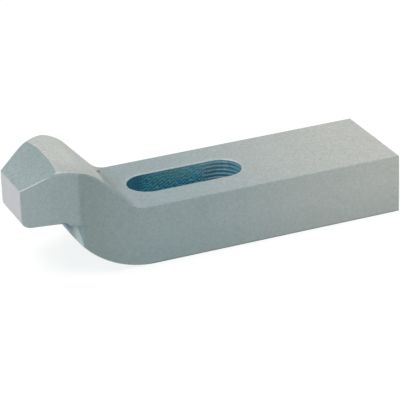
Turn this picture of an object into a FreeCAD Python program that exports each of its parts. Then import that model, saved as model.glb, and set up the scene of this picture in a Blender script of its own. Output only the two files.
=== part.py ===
"""Goose-neck strap clamp: one forged steel bar with a raised, tapered nose and a stud slot.

Frame: X runs from the nose tip to the heel, Z is up, and the origin is under the middle
of the bar, on the flat bottom face. All sizes are in millimetres, all angles in degrees.
"""
import FreeCAD, Part
import math
import os
import Sketcher

SIZES = {
    # bar
    "bar_length": 160.0,       # overall, nose tip to heel
    "bar_width": 45.0,
    "bar_thickness": 25.0,     # heel and slot zone, between the flat bottom and the flat top
    "edge_break": 0.6,         # rounding of the machined outer edges
    # stud slot
    "slot_width": 18.0,
    "slot_length": 49.2,       # end to end
    "slot_setback": 49.2,      # from the nose tip to the near end of the slot
    "slot_break": 0.5,         # chamfer round both rims of the slot
    # nose
    "tip_width": 22.8,
    "taper_length": 20.6,      # from the tip back to where the nose reaches the full width
    "tip_floor": 21.1,         # height of the underside at the tip
    "tip_height": 16.2,        # height of the end face
    "tip_round": 3.0,          # between the end face and the underside
    "shoulder_round": 2.5,     # upright edge where the taper meets the side of the bar
    "underside_tilt": 9.5,     # the underside rises towards the root of the nose
    "facet_tilt": 30.6,        # sloping face on the front of the crown
    # crown and saddle
    "crown_height": 46.0,
    "crown_radius": 17.5,      # seen from the side
    "barrel_radius": 340.0,    # seen from the front
    "crown_round": 2.0,        # rounding of the long edges of the crown
    "rear_tilt": 47.6,         # steepness of the slope behind the crown
    "slope_foot": 44.0,        # from the nose tip to where that slope meets the flat top
    "saddle_radius": 10.0,     # hollow between the slope and the flat top
    # front of the bar under the nose
    "front_setback": 16.8,     # from the nose tip to where the front meets the underside
    "front_tilt": 80.0,        # steepness of the front
    "root_radius": 2.0,        # hollow between the front and the underside of the nose
    "chin_height": 18.1,       # where the front ends and the belly begins
    "chin_radius": 4.0,        # rounding between the two
    "belly_radius": 40.0,      # from the chin down to the flat bottom
    "corner_start": 21.5,      # from the nose tip to where the cut corners of the front leave the sides
    "corner_length": 6.5,      # length of those two cuts along the bar
    "corner_depth": 10.4,      # and across it
    "corner_top": 23.2,        # height that they reach up to
}

TOUCH = 1e-4                   # how near a point counts as on an edge
CREASE = math.radians(20)      # two faces that meet at less than this run into each other smoothly
STOCK = 3.0                    # how much higher than the crown the bar starts before it is cut
BROW_TILT = 18.0               # how the forging falls ahead of the crown, before the facet is cut
CROWN_TURN = 20.0              # how far the crown's cutter is turned about its axis, in degrees
CUT_DEPTH = 25.0               # how far the crown's cutter reaches outside the arc
OVERCUT = 2.0                  # how far a cutter runs past the end of the bar


def make_sheet(doc):
    """Puts the driving sizes in a spreadsheet, one alias each, and reads them back."""
    sheet = doc.addObject("Spreadsheet::Sheet", "Sizes")
    for row, (name, value) in enumerate(SIZES.items(), start=1):
        sheet.set(f"A{row}", name)
        sheet.set(f"B{row}", str(value))
        sheet.setAlias(f"B{row}", name)
    doc.recompute()
    return {name: getattr(sheet, name) for name in SIZES}


def plane_of(body, role):
    """An origin plane of the body, by its role."""
    return next(item for item in body.Origin.OriginFeatures if item.Role == role)


def add_sketch(body, name, role):
    """An empty sketch on one of the body's origin planes."""
    sketch = body.newObject("Sketcher::SketchObject", name)
    sketch.AttachmentSupport = (plane_of(body, role), [""])
    sketch.MapMode = "FlatFace"
    return sketch


def drive(sketch, name, constraint, expression):
    """Adds a dimension, names it and binds it to the sheet."""
    index = sketch.addConstraint(constraint)
    sketch.renameConstraint(index, name)
    sketch.setExpression(f"Constraints.{name}", expression)


def line(start, end):
    """A sketch line between two (x, y) points."""
    return Part.LineSegment(FreeCAD.Vector(*start, 0), FreeCAD.Vector(*end, 0))


def arc(centre, radius, start, end):
    """A sketch arc, counter-clockwise between two angles in degrees."""
    circle = Part.Circle(FreeCAD.Vector(*centre, 0), FreeCAD.Vector(0, 0, 1), radius)
    return Part.ArcOfCircle(circle, math.radians(start), math.radians(end))


def make_profile(body, size):
    """Side outline of the bar, with a square block that the nose and the crown are cut from."""
    sketch = add_sketch(body, "SideProfile", "XZ_Plane")
    tip, heel = -size["bar_length"] / 2, size["bar_length"] / 2
    radius = size["belly_radius"]
    floor, thickness = size["tip_floor"], size["bar_thickness"]
    top = size["crown_height"] + STOCK
    foot = tip + size["slope_foot"]
    ridge = foot - (top - thickness) / math.tan(math.radians(size["rear_tilt"]))
    setback = size["front_setback"]
    root = (tip + setback, floor + setback * math.tan(math.radians(size["underside_tilt"])))
    drop = root[1] - size["chin_height"]
    chin = (root[0] + drop / math.tan(math.radians(size["front_tilt"])), size["chin_height"])
    start = chin[0] + math.sqrt(radius**2 - (radius - chin[1])**2)
    chin_angle = math.degrees(math.atan2(chin[1] - radius, chin[0] - start)) % 360

    bottom, belly, front, underside, end, block, slope, flat, back = sketch.addGeometry([
        line((heel, 0), (start, 0)),
        arc((start, radius), radius, chin_angle, 270),
        line(chin, root),
        line((tip, floor), root),
        line((tip, floor), (tip, top)),
        line((tip, top), (ridge, top)),
        line((foot, thickness), (ridge, top)),
        line((foot, thickness), (heel, thickness)),
        line((heel, thickness), (heel, 0)),
    ])
    rule = Sketcher.Constraint
    sketch.addConstraint([
        rule("Tangent", bottom, 2, belly, 2),
        rule("Coincident", belly, 1, front, 1),
        rule("Coincident", front, 2, underside, 2),
        rule("Coincident", underside, 1, end, 1),
        rule("Coincident", end, 2, block, 1),
        rule("Coincident", block, 2, slope, 2),
        rule("Coincident", slope, 1, flat, 1),
        rule("Coincident", flat, 2, back, 1),
        rule("Coincident", back, 2, bottom, 1),
        rule("Horizontal", bottom),
        rule("Horizontal", flat),
        rule("Horizontal", block),
        rule("Vertical", end),
        rule("Vertical", back),
        rule("PointOnObject", bottom, 1, -1),
    ])
    drive(sketch, "heel_reach", rule("DistanceX", -1, 1, bottom, 1, heel), "Sizes.bar_length / 2")
    drive(sketch, "tip_reach", rule("DistanceX", end, 1, -1, 1, heel), "Sizes.bar_length / 2")
    drive(sketch, "front_setback", rule("DistanceX", end, 1, front, 2, setback), "Sizes.front_setback")
    drive(sketch, "front_tilt", rule("Angle", front, math.radians(180 - size["front_tilt"])),
          "180 - Sizes.front_tilt")
    drive(sketch, "chin_height", rule("DistanceY", -1, 1, front, 1, chin[1]), "Sizes.chin_height")
    drive(sketch, "belly_radius", rule("Radius", belly, radius), "Sizes.belly_radius")
    drive(sketch, "tip_floor", rule("DistanceY", -1, 1, end, 1, floor), "Sizes.tip_floor")
    drive(sketch, "underside_tilt", rule("Angle", underside, math.radians(size["underside_tilt"])),
          "Sizes.underside_tilt")
    drive(sketch, "rear_tilt", rule("Angle", slope, math.radians(180 - size["rear_tilt"])),
          "180 - Sizes.rear_tilt")
    drive(sketch, "slope_foot", rule("DistanceX", end, 1, slope, 1, size["slope_foot"]),
          "Sizes.slope_foot")
    drive(sketch, "thickness", rule("DistanceY", -1, 1, flat, 1, thickness), "Sizes.bar_thickness")
    drive(sketch, "block_top", rule("DistanceY", -1, 1, block, 1, top), f"Sizes.crown_height + {STOCK}")
    body.Document.recompute()
    corners = {
        "saddle_radius": sketch.getPoint(slope, 1),
        "root_radius": sketch.getPoint(front, 2),
        "chin_radius": sketch.getPoint(front, 1),
        "tip_round": sketch.getPoint(end, 1),
    }
    return sketch, corners


def cross_edges(shape, point):
    """Names of the straight edges that run across the bar through a point of the side outline."""
    found = []
    for index, edge in enumerate(shape.Edges, start=1):
        ends = [vertex.Point for vertex in edge.Vertexes]
        on_corner = [abs(end.x - point.x) < TOUCH and abs(end.z - point.y) < TOUCH for end in ends]
        if len(ends) == 2 and all(on_corner):
            found.append(f"Edge{index}")
    return found


def shoulder_edges(shape, size):
    """Names of the upright edges where the tapered nose meets the sides of the bar."""
    shoulder = size["taper_length"] - size["bar_length"] / 2
    side = size["bar_width"] / 2
    found = []
    for index, edge in enumerate(shape.Edges, start=1):
        ends = [vertex.Point for vertex in edge.Vertexes]
        if all(abs(end.x - shoulder) < TOUCH and abs(abs(end.y) - side) < TOUCH for end in ends):
            found.append(f"Edge{index}")
    return found


def make_crown_cut(body, size):
    """The crown, turned about a leaning axis so that it is round both ways.

    The axis stands square to the rear slope, so the crown runs into that slope smoothly.
    """
    sketch = add_sketch(body, "CrownCut", "XZ_Plane")
    foot = (size["slope_foot"] - size["bar_length"] / 2, size["bar_thickness"])
    tilt, radius = math.radians(size["rear_tilt"]), size["crown_radius"]
    height = size["crown_height"] - radius
    normal = (math.sin(tilt), math.cos(tilt))
    run = (height + radius * normal[1] - foot[1]) / math.sin(tilt)
    rear = (foot[0] - run * math.cos(tilt), foot[1] + run * math.sin(tilt))
    centre = (rear[0] - radius * normal[0], height)
    brow = math.radians(BROW_TILT)
    ahead = (centre[0] - radius * math.sin(brow), height + radius * math.cos(brow))
    front = -size["bar_length"] / 2 - OVERCUT
    outside = (rear[0] + CUT_DEPTH * normal[0], rear[1] + CUT_DEPTH * normal[1])
    corner = (front, ahead[1] + (front - ahead[0]) * math.tan(brow))
    pivot = (centre[0], size["crown_height"] - size["barrel_radius"])

    crown, fall, front_side, closing, rear_side, guide, axis = sketch.addGeometry([
        arc(centre, radius, 90 - size["rear_tilt"], 90 + BROW_TILT),
        line(ahead, corner),
        line(corner, (front, outside[1])),
        line((front, outside[1]), outside),
        line(outside, rear),
        line(foot, rear),
        line(pivot, (pivot[0] + radius * normal[0], pivot[1] + radius * normal[1])),
    ])
    for item in (guide, axis):
        sketch.setConstruction(item, True)
    rule = Sketcher.Constraint
    sketch.addConstraint([
        rule("Tangent", guide, 2, crown, 1),
        rule("Perpendicular", guide, axis),
        rule("Perpendicular", guide, rear_side),
        rule("Tangent", crown, 2, fall, 1),
        rule("Coincident", fall, 2, front_side, 1),
        rule("Coincident", front_side, 2, closing, 1),
        rule("Coincident", closing, 2, rear_side, 1),
        rule("Coincident", rear_side, 2, crown, 1),
        rule("Vertical", front_side),
        rule("Horizontal", closing),
        rule("Vertical", crown, 3, axis, 1),
    ])
    drive(sketch, "foot_reach", rule("DistanceX", guide, 1, -1, 1, -foot[0]),
          "Sizes.bar_length / 2 - Sizes.slope_foot")
    drive(sketch, "foot_height", rule("DistanceY", -1, 1, guide, 1, foot[1]), "Sizes.bar_thickness")
    drive(sketch, "rear_tilt", rule("Angle", guide, math.pi - tilt), "180 - Sizes.rear_tilt")
    drive(sketch, "crown_radius", rule("Radius", crown, radius), "Sizes.crown_radius")
    drive(sketch, "centre_height", rule("DistanceY", -1, 1, crown, 3, height),
          "Sizes.crown_height - Sizes.crown_radius")
    drive(sketch, "barrel", rule("DistanceY", axis, 1, crown, 3, size["barrel_radius"] - radius),
          "Sizes.barrel_radius - Sizes.crown_radius")
    drive(sketch, "axis_length", rule("Distance", axis, radius), "Sizes.crown_radius")
    drive(sketch, "front_reach", rule("DistanceX", fall, 2, -1, 1, -front),
          f"Sizes.bar_length / 2 + {OVERCUT}")
    sketch.addConstraint([
        rule("Distance", rear_side, CUT_DEPTH),
        rule("Angle", fall, math.pi + brow),
    ])
    return sketch


def make_facet_cut(body, size):
    """Side outline of the corner that is cut off in front of the crown."""
    sketch = add_sketch(body, "FacetCut", "XZ_Plane")
    tip, top = -size["bar_length"] / 2, size["tip_floor"] + size["tip_height"]
    height = size["crown_height"] + STOCK
    run = (height - top) / math.tan(math.radians(size["facet_tilt"]))
    facet, above, ahead = sketch.addGeometry([
        line((tip, top), (tip + run, height)),
        line((tip + run, height), (tip, height)),
        line((tip, height), (tip, top)),
    ])
    rule = Sketcher.Constraint
    sketch.addConstraint([
        rule("Coincident", facet, 2, above, 1),
        rule("Coincident", above, 2, ahead, 1),
        rule("Coincident", ahead, 2, facet, 1),
        rule("Horizontal", above),
        rule("Vertical", ahead),
    ])
    drive(sketch, "tip_reach", rule("DistanceX", facet, 1, -1, 1, -tip), "Sizes.bar_length / 2")
    drive(sketch, "tip_top", rule("DistanceY", -1, 1, facet, 1, top), "Sizes.tip_floor + Sizes.tip_height")
    drive(sketch, "facet_tilt", rule("Angle", facet, math.radians(size["facet_tilt"])),
          "Sizes.facet_tilt")
    drive(sketch, "height", rule("DistanceY", -1, 1, above, 1, height), f"Sizes.crown_height + {STOCK}")
    return sketch


def make_wedges(body, name, size, front, length, half):
    """Plan of two corners cut away, one on each side of the bar, each a right-angled wedge.

    A wedge runs along the side, from its front back to its point. Its front, its length and
    the half width that it leaves at its front are each a value and its expression on the sheet.
    """
    sketch = add_sketch(body, name, "XY_Plane")
    reach, half_bar = -front[0], size["bar_width"] / 2
    rule = Sketcher.Constraint
    for label, side in (("left", 1), ("right", -1)):
        inner, outer = (reach, side * half[0]), (reach, side * half_bar)
        rear = (reach + length[0], side * half_bar)
        cut, face, flank = sketch.addGeometry([line(inner, rear), line(inner, outer), line(outer, rear)])
        sketch.addConstraint([
            rule("Coincident", cut, 1, face, 1),
            rule("Coincident", face, 2, flank, 1),
            rule("Coincident", flank, 2, cut, 2),
            rule("Vertical", face),
            rule("Horizontal", flank),
        ])
        drive(sketch, f"{label}_front", rule("DistanceX", cut, 1, -1, 1, front[0]), front[1])
        drive(sketch, f"{label}_length", rule("DistanceX", cut, length[0]), length[1])
        near = (-1, 1, cut, 1) if side > 0 else (cut, 1, -1, 1)
        wide = (-1, 1, cut, 2) if side > 0 else (cut, 2, -1, 1)
        drive(sketch, f"{label}_half_front", rule("DistanceY", *near, half[0]), half[1])
        drive(sketch, f"{label}_half_bar", rule("DistanceY", *wide, half_bar), "Sizes.bar_width / 2")
    return sketch


def make_taper(body, size):
    """Plan of the two corners cut away beside the nose."""
    return make_wedges(
        body, "TaperPlan", size,
        front=(size["bar_length"] / 2, "Sizes.bar_length / 2"),
        length=(size["taper_length"], "Sizes.taper_length"),
        half=(size["tip_width"] / 2, "Sizes.tip_width / 2"),
    )


def make_corners(body, size):
    """Plan of the two corners cut away from the front of the bar, under the nose."""
    setback = size["corner_start"] - size["corner_length"]
    return make_wedges(
        body, "CornerPlan", size,
        front=(size["bar_length"] / 2 - setback,
               "Sizes.bar_length / 2 - Sizes.corner_start + Sizes.corner_length"),
        length=(size["corner_length"], "Sizes.corner_length"),
        half=(size["bar_width"] / 2 - size["corner_depth"], "Sizes.bar_width / 2 - Sizes.corner_depth"),
    )


def make_slot(body, size):
    """Plan of the stud slot: two half rounds joined by straight sides."""
    sketch = add_sketch(body, "SlotPlan", "XY_Plane")
    radius = size["slot_width"] / 2
    front = size["slot_setback"] + radius - size["bar_length"] / 2
    rear = front + size["slot_length"] - size["slot_width"]
    nose_end, heel_end, left, right = sketch.addGeometry([
        arc((front, 0), radius, 90, 270),
        arc((rear, 0), radius, -90, 90),
        line((front, radius), (rear, radius)),
        line((front, -radius), (rear, -radius)),
    ])
    rule = Sketcher.Constraint
    sketch.addConstraint([
        rule("Tangent", nose_end, 1, left, 1),
        rule("Tangent", nose_end, 2, right, 1),
        rule("Tangent", heel_end, 2, left, 2),
        rule("Tangent", heel_end, 1, right, 2),
        rule("Horizontal", left),
        rule("Equal", nose_end, heel_end),
        rule("PointOnObject", nose_end, 3, -1),
    ])
    drive(sketch, "end_radius", rule("Radius", nose_end, radius), "Sizes.slot_width / 2")
    drive(sketch, "front_reach", rule("DistanceX", nose_end, 3, -1, 1, -front),
          "Sizes.bar_length / 2 - Sizes.slot_setback - Sizes.slot_width / 2")
    drive(sketch, "centres", rule("DistanceX", nose_end, 3, heel_end, 3, rear - front),
          "Sizes.slot_length - Sizes.slot_width")
    return sketch


def slot_rims(shape, size):
    """Names of the edges round both ends of the stud slot."""
    half = size["slot_width"] / 2 + TOUCH
    found = []
    for index, edge in enumerate(shape.Edges, start=1):
        box = edge.BoundBox
        level = box.ZLength < TOUCH and min(abs(box.ZMin), abs(box.ZMin - size["bar_thickness"])) < TOUCH
        if level and box.YMax < half and box.YMin > -half and box.XMin > -size["bar_length"] / 2 + TOUCH \
                and box.XMax < size["bar_length"] / 2 - TOUCH:
            found.append(f"Edge{index}")
    return found


def add_pocket(body, name, sketch):
    """A cut right through the bar, both ways from the sketch."""
    pocket = body.newObject("PartDesign::Pocket", name)
    pocket.Profile = sketch
    pocket.SideType = "Symmetric"
    pocket.Type = "ThroughAll"
    return pocket


def add_fillet(body, name, base, edges, size_name):
    """A fillet on named edges of the last feature, its radius from the sheet."""
    fillet = body.newObject("PartDesign::Fillet", name)
    fillet.Base = (base, edges)
    fillet.setExpression("Radius", f"Sizes.{size_name}")
    body.Document.recompute()
    return fillet


def is_crease(shape, edge):
    """Whether the two faces beside an edge meet at a real corner."""
    middle = edge.valueAt((edge.FirstParameter + edge.LastParameter) / 2)
    faces = shape.ancestorsOfType(edge, Part.Face)
    normals = [face.normalAt(*face.Surface.parameter(middle)) for face in faces]
    return len(normals) == 2 and normals[0].getAngle(normals[1]) > CREASE


def edge_radii(shape, size):
    """Edge number and the radii at both ends for every outer edge of the bar.

    The long edges of the crown are well rounded, the rounding fades out down the rear
    slope, and every other edge has the small edge break.
    """
    full, small = size["crown_round"], size["edge_break"]
    radii = []
    for index, edge in enumerate(shape.Edges, start=1):
        if not is_crease(shape, edge):
            continue
        box = edge.BoundBox
        raised = box.ZMin > size["bar_thickness"] + TOUCH
        lengthwise = box.YMin * box.YMax > 0 and box.XLength > TOUCH
        if raised and lengthwise:
            straight = edge.Curve.TypeId == "Part::GeomLine"
            radii.append((index, full, small if straight else full))
        else:
            radii.append((index, small, small))
    return radii


def make_blank(doc, size):
    """The bar with its tapered nose and its crown, its edges still sharp."""
    body = doc.addObject("PartDesign::Body", "Blank")
    profile, corners = make_profile(body, size)
    last = body.newObject("PartDesign::Pad", "Bar")
    last.Profile = profile
    last.SideType = "Symmetric"
    last.setExpression("Length", "Sizes.bar_width")
    doc.recompute()
    for size_name, point in corners.items():
        last = add_fillet(body, "Round_" + size_name, last, cross_edges(last.Shape, point), size_name)
    taper = add_pocket(body, "Taper", make_taper(body, size))
    doc.recompute()
    add_fillet(body, "Shoulders", taper, shoulder_edges(taper.Shape, size), "shoulder_round")
    crown = body.newObject("PartDesign::Groove", "Crown")
    crown.Profile = make_crown_cut(body, size)
    crown.ReferenceAxis = (crown.Profile[0], ["Axis1"])
    crown.Midplane = True
    crown.Angle = CROWN_TURN
    doc.recompute()
    return body


def make_clamp(doc, size):
    """The whole clamp: the blank with its edges rounded, then every later cut in it."""
    blank = make_blank(doc, size)
    rounded = doc.addObject("Part::Fillet", "RoundedEdges")
    rounded.Base = blank
    rounded.Edges = edge_radii(blank.Shape, size)
    doc.recompute()

    body = doc.addObject("PartDesign::Body", "Clamp")
    body.Label = "strap_clamp"
    body.BaseFeature = rounded
    add_pocket(body, "Facet", make_facet_cut(body, size))
    doc.recompute()
    corners = body.newObject("PartDesign::Pocket", "FrontCorners")
    corners.Profile = make_corners(body, size)
    corners.Reversed = True
    corners.setExpression("Length", "Sizes.corner_top")
    slot = add_pocket(body, "StudSlot", make_slot(body, size))
    doc.recompute()
    rims = body.newObject("PartDesign::Chamfer", "SlotRims")
    rims.Base = (slot, slot_rims(slot.Shape, size))
    rims.setExpression("Size", "Sizes.slot_break")
    doc.recompute()
    return body


def check(doc):
    """Stops on a failed feature or a bad solid."""
    for item in doc.Objects:
        bad = [state for state in item.State if state in ("Invalid", "Error")]
        if bad:
            raise RuntimeError(f"{item.Name}: {bad}")
        if item.TypeId == "Sketcher::SketchObject" and not item.FullyConstrained:
            raise RuntimeError(f"{item.Name} is not fully constrained")


def main():
    """Builds the clamp and writes its STEP file."""
    os.makedirs("parts", exist_ok=True)
    doc = FreeCAD.newDocument("StrapClamp")
    size = make_sheet(doc)
    clamp = make_clamp(doc, size)
    check(doc)
    shape = clamp.Shape
    if shape.isNull() or not shape.isValid() or len(shape.Solids) != 1:
        raise RuntimeError("the clamp is not one valid solid")
    shape.exportStep(f"parts/{clamp.Label}.step")
    box = shape.optimalBoundingBox(False)
    print(f"{clamp.Label}: {box.XLength:.2f} x {box.YLength:.2f} x {box.ZLength:.2f} mm, "
          f"{len(shape.Faces)} faces, {shape.Volume / 1000:.2f} cubic centimetres")


main()
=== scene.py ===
"""Looks of the goose-neck strap clamp: satin enamel on forged steel, and the milled stud slot.

The clamp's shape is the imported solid. This script dresses it, lines the slot with its milled
wall, and sets the floor, the lights and the camera. Lengths are in metres in the part's frame:
X runs from the nose tip to the heel, Z is up, and the floor is at zero.
"""
import logging
import math
from dataclasses import dataclass, field
from enum import Enum

import bpy
import numpy as np
from mathutils import Matrix, Vector


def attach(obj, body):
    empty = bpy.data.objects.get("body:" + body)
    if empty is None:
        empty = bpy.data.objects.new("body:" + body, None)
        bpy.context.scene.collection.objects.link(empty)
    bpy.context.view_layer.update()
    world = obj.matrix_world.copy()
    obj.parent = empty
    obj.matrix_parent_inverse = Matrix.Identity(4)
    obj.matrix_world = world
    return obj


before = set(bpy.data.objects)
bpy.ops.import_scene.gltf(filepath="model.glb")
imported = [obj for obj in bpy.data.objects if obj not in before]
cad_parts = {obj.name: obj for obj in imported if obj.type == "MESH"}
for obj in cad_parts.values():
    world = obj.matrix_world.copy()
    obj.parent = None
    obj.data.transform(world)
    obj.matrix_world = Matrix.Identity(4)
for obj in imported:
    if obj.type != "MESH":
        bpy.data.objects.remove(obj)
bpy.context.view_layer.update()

MM = 0.001
LOG = logging.getLogger("strap_clamp")

Colour = tuple[float, float, float]
Point = tuple[float, float, float]
# A value at which a share is 0, and the value at which it is 1
Band = tuple[float, float]
# A colour and the share of it that shows
Layer = tuple[Colour, bpy.types.NodeSocket]


def part(value: np.ndarray, band: Band) -> np.ndarray:
    """Share by which a value has passed from a band's first value to its second."""
    return np.clip((value - band[0]) / (band[1] - band[0]), 0.0, 1.0)


class Face(Enum):
    """Flat faces of the clamp: outward normal, and distance from the origin along it.

    The clamp is the same on both sides, so the faces beside the middle are given for +Y.
    """

    END = ((-1.0, 0.0, 0.0), 80.0 * MM)
    FACET = ((-0.50904, 0.0, 0.86074), 72.829 * MM)
    FLANK = ((-0.47435, 0.88033, 0.0), 47.984 * MM)

    @property
    def normal(self) -> Point:
        """Outward normal of the face."""
        return self.value[0]

    @property
    def reach(self) -> float:
        """Distance of the face's plane from the origin, in metres."""
        return self.value[1]


class Blend(Enum):
    """How one colour is laid over another."""

    OVER = "MIX"
    SHADE = "MULTIPLY"


@dataclass(frozen=True)
class Noise:
    """Sizes of a noise.

    Args:
        scale: Cells in a metre.
        detail: Number of finer noises added to it.
        roughness: How strong each finer noise is, next to the one before.
    """

    scale: float
    detail: float
    roughness: float


@dataclass
class Sheet:
    """A node tree with short ways to add nodes to it.

    Args:
        tree: The node tree of a material, a world or a node group.
    """

    tree: bpy.types.NodeTree

    def add(self, kind: str, **settings: object) -> bpy.types.Node:
        """Adds a node and sets its options.

        Args:
            kind: Blender's name for the type of node.
            settings: Options of the node, by name.

        Returns:
            The new node.
        """
        node = self.tree.nodes.new(kind)
        for name, value in settings.items():
            setattr(node, name, value)
        return node

    def feed(self, socket: bpy.types.NodeSocket, source: object) -> None:
        """Links a socket to another, or sets it to a plain value.

        Args:
            socket: The input socket.
            source: The socket or value that feeds it.
        """
        if isinstance(source, bpy.types.NodeSocket):
            self.tree.links.new(source, socket)
        elif isinstance(source, tuple) and socket.type == "RGBA":
            socket.default_value = (*source, 1.0)
        else:
            socket.default_value = source

    def math(self, operation: str, *values: object, clamp: bool = False) -> bpy.types.NodeSocket:
        """A Math node on sockets or numbers.

        Args:
            operation: Blender's name for the operation.
            values: The sockets or numbers, in order.
            clamp: Whether the result is kept between 0 and 1.

        Returns:
            The result.
        """
        node = self.add("ShaderNodeMath", operation=operation, use_clamp=clamp)
        for socket, value in zip(node.inputs, values):
            self.feed(socket, value)
        return node.outputs[0]

    def vector(self, operation: str, *values: object) -> bpy.types.Node:
        """A Vector Math node on sockets or vectors.

        Args:
            operation: Blender's name for the operation.
            values: The sockets or vectors, in order.

        Returns:
            The node, whose result is in its Vector or its Value output.
        """
        node = self.add("ShaderNodeVectorMath", operation=operation)
        for socket, value in zip(node.inputs, values):
            self.feed(socket, value)
        return node

    def fade(self, value: object, start: float, stop: float) -> bpy.types.NodeSocket:
        """A smooth step over a value.

        Args:
            value: The value.
            start: Where the share is 0.
            stop: Where it is 1.

        Returns:
            The share.
        """
        node = self.add("ShaderNodeMapRange", interpolation_type="SMOOTHSTEP")
        self.feed(node.inputs["Value"], value)
        node.inputs["From Min"].default_value = min(start, stop)
        node.inputs["From Max"].default_value = max(start, stop)
        node.inputs["To Min"].default_value = 0.0 if start < stop else 1.0
        node.inputs["To Max"].default_value = 1.0 if start < stop else 0.0
        return node.outputs["Result"]

    def split(self, vector: object) -> tuple[bpy.types.NodeSocket, ...]:
        """The three parts of a vector.

        Args:
            vector: The vector.

        Returns:
            Its X, Y and Z.
        """
        node = self.add("ShaderNodeSeparateXYZ")
        self.feed(node.inputs[0], vector)
        return tuple(node.outputs)

    def product(self, *shares: object) -> bpy.types.NodeSocket:
        """Several shares multiplied together.

        Args:
            shares: The sockets or numbers.

        Returns:
            Their product.
        """
        result = shares[0]
        for share in shares[1:]:
            result = self.math("MULTIPLY", result, share)
        return result

    def ramp(self, value: object, stops: dict[float, Colour]) -> bpy.types.NodeSocket:
        """A colour that changes with a value.

        Args:
            value: The value.
            stops: Colour at each value, in rising order.

        Returns:
            The colour, eased from stop to stop.
        """
        low, high = min(stops), max(stops)
        share = self.math("DIVIDE", self.math("SUBTRACT", value, low), high - low, clamp=True)
        node = self.add("ShaderNodeValToRGB")
        self.feed(node.inputs[0], share)
        band = node.color_ramp
        band.interpolation = "EASE"
        while len(band.elements) < len(stops):
            band.elements.new(0.5)
        for element, (place, colour) in zip(band.elements, sorted(stops.items())):
            element.position = (place - low) / (high - low)
            element.color = (*colour, 1.0)
        return node.outputs["Color"]

    def between(self, share: object, low: float, high: float) -> bpy.types.NodeSocket:
        """Low where a share is 0, and high where it is 1."""
        return self.math("MULTIPLY_ADD", share, high - low, low)

    def square_sum(self, one: object, other: object) -> bpy.types.NodeSocket:
        """The squares of two values, added together."""
        return self.math("ADD", self.product(one, one), self.product(other, other))

    def dot(self, one: object, other: object) -> bpy.types.NodeSocket:
        """The dot product of two vectors."""
        return self.vector("DOT_PRODUCT", one, other).outputs["Value"]

    def noise(self, position: object, noise: Noise) -> bpy.types.NodeSocket:
        """A noise between 0 and 1.

        Args:
            position: Where it is read.
            noise: Its sizes.

        Returns:
            The noise.
        """
        node = self.add("ShaderNodeTexNoise")
        self.feed(node.inputs["Vector"], position)
        node.inputs["Scale"].default_value = noise.scale
        node.inputs["Detail"].default_value = noise.detail
        node.inputs["Roughness"].default_value = noise.roughness
        return node.outputs["Fac"]

    def mix(
        self, base: object, top: object, share: object, blend: Blend = Blend.OVER
    ) -> bpy.types.NodeSocket:
        """Lays one colour over another.

        Args:
            base: The colour underneath.
            top: The colour laid over it.
            share: How much of it shows, from 0 to 1.
            blend: How it is laid.

        Returns:
            The mixed colour.
        """
        node = self.add("ShaderNodeMix", data_type="RGBA", blend_type=blend.value)
        self.feed(node.inputs[0], share)
        self.feed(node.inputs[6], base)
        self.feed(node.inputs[7], top)
        return node.outputs[2]

    def use(self, group: bpy.types.NodeTree, **values: object) -> bpy.types.Node:
        """Places a node group.

        Args:
            group: The group's tree.
            values: What feeds its inputs, by name, with an underscore for each space.

        Returns:
            The group node.
        """
        node = self.add("ShaderNodeGroup", node_tree=group)
        for name, value in values.items():
            self.feed(node.inputs[name.replace("_", " ")], value)
        return node


def new_group(
    name: str, inputs: dict[str, str], outputs: dict[str, str]
) -> tuple[Sheet, bpy.types.Node, bpy.types.Node]:
    """Starts a shader node group with named sockets.

    Args:
        name: The group's name.
        inputs: Kind of each input, by name.
        outputs: Kind of each output, by name.

    Returns:
        The group's sheet, its input node and its output node.
    """
    tree = bpy.data.node_groups.new(name, "ShaderNodeTree")
    for way, sockets in (("INPUT", inputs), ("OUTPUT", outputs)):
        for label, kind in sockets.items():
            tree.interface.new_socket(label, in_out=way, socket_type=kind)
    sheet = Sheet(tree)
    return sheet, sheet.add("NodeGroupInput"), sheet.add("NodeGroupOutput")


FLOAT, VECTOR = "NodeSocketFloat", "NodeSocketVector"


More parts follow.
